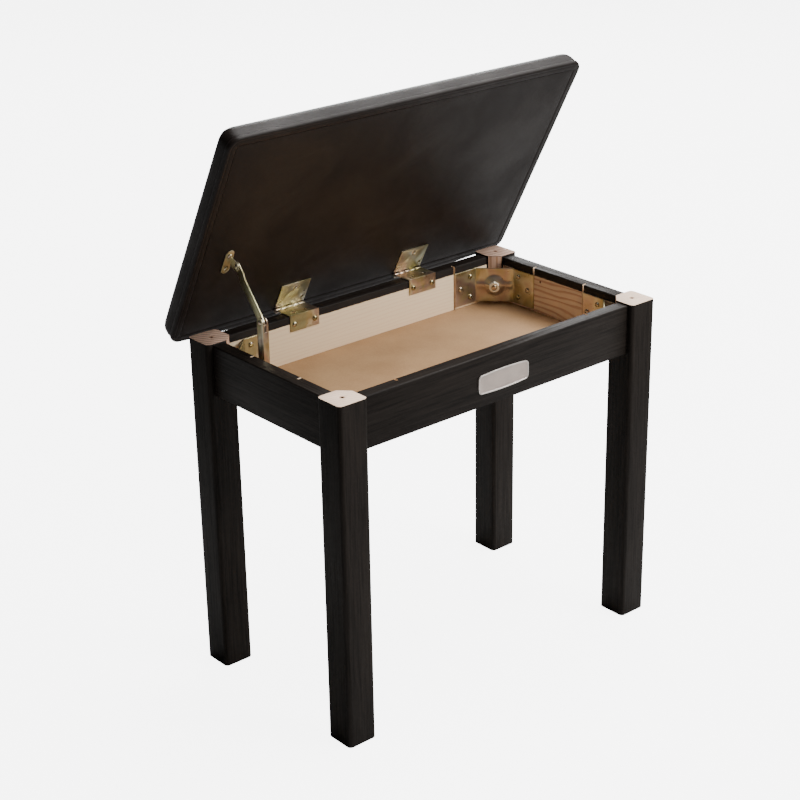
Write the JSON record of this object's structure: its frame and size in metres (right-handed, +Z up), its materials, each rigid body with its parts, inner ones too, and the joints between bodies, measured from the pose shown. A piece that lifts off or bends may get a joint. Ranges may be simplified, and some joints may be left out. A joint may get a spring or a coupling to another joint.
{
  "type": "piano bench",
  "caption": "Piano bench with a storage box on square legs and a padded lid hinged at the back, held open by a folding stay.",
  "frame": {"origin": "centre of the bench's plan outline with the lid open, on the floor", "axes": "+Z up, -Y towards the front rail with the plate, +X to the sitter's right as seen from the front"},
  "size_m": [0.545, 0.3234, 0.7214],
  "materials": {
    "stained_wood": "black open-grain stain, satin, bare on the leg tops and inside the box",
    "hardboard": "plain brown pressed board",
    "yellow_zinc": "yellow zinc plating",
    "satin_plate": "satin",
    "bright_steel": "bright",
    "plywood": "raw plywood",
    "foam": "open-cell foam",
    "leatherette": "soft satin grained",
    "dust_cloth": "smooth matt coated cloth"
  },
  "bodies": {
    "frame": {"leg_front_left": "stained_wood", "leg_front_right": "stained_wood", "leg_back_left": "stained_wood", "leg_back_right": "stained_wood", "front_rail": "stained_wood", "back_rail": "stained_wood", "left_rail": "stained_wood", "right_rail": "stained_wood", "floor_panel": "hardboard", "floor_nails": "bright_steel", "corner_bracket_front_left": "yellow_zinc", "corner_bracket_front_right": "yellow_zinc", "corner_bracket_back_left": "yellow_zinc", "corner_bracket_back_right": "yellow_zinc", "leg_bolts": "yellow_zinc", "leg_nuts": "yellow_zinc", "bracket_screws": "yellow_zinc", "front_plate": "satin_plate", "lower_hinge_leaf_left": "yellow_zinc", "lower_hinge_leaf_right": "yellow_zinc", "hinge_pin_left": "yellow_zinc", "hinge_pin_right": "yellow_zinc", "hinge_rail_screws": "yellow_zinc", "stay_base_plate": "yellow_zinc", "stay_base_screws": "yellow_zinc"},
    "lid": {"upper_hinge_leaf_left": "yellow_zinc", "upper_hinge_leaf_right": "yellow_zinc", "hinge_lid_screws": "yellow_zinc", "stay_lid_bracket": "yellow_zinc", "stay_lid_screws": "yellow_zinc", "stay_top_rivet": "yellow_zinc", "seat_board": "plywood", "foam_pad": "foam", "seat_cover": "leatherette", "underside_cover": "dust_cloth", "cover_staples": "bright_steel"},
    "upper_arm": {"stay_upper_arm": "yellow_zinc"},
    "lower_arm": {"stay_lower_arm": "yellow_zinc", "stay_foot_pin": "yellow_zinc", "stay_elbow_rivet": "yellow_zinc"}
  },
  "joints": [
    {"name": "lid_hinge", "type": "hinge", "parent": "frame", "child": "lid", "pos_m": [0, 0.13199, 0.4374], "axis": [1, 0, 0], "range_deg": [0, 61.9]},
    {"name": "stay_top_pivot", "type": "hinge", "parent": "lid", "child": "upper_arm", "pos_m": [-0.217, 0.07127, 0.53455], "axis": [1, 0, 0], "range_deg": [-96.67, 0.5]},
    {"name": "stay_elbow", "type": "hinge", "parent": "upper_arm", "child": "lower_arm", "pos_m": [-0.217, 0.02479, 0.478], "axis": [1, 0, 0], "range_deg": [-0.5, 118.32]}
  ],
  "couplings": [
    {"joint": "stay_top_pivot", "follows": "lid_hinge", "ratio": -1.5537},
    {"joint": "stay_elbow", "follows": "lid_hinge", "ratio": 1.9034}
  ]
}
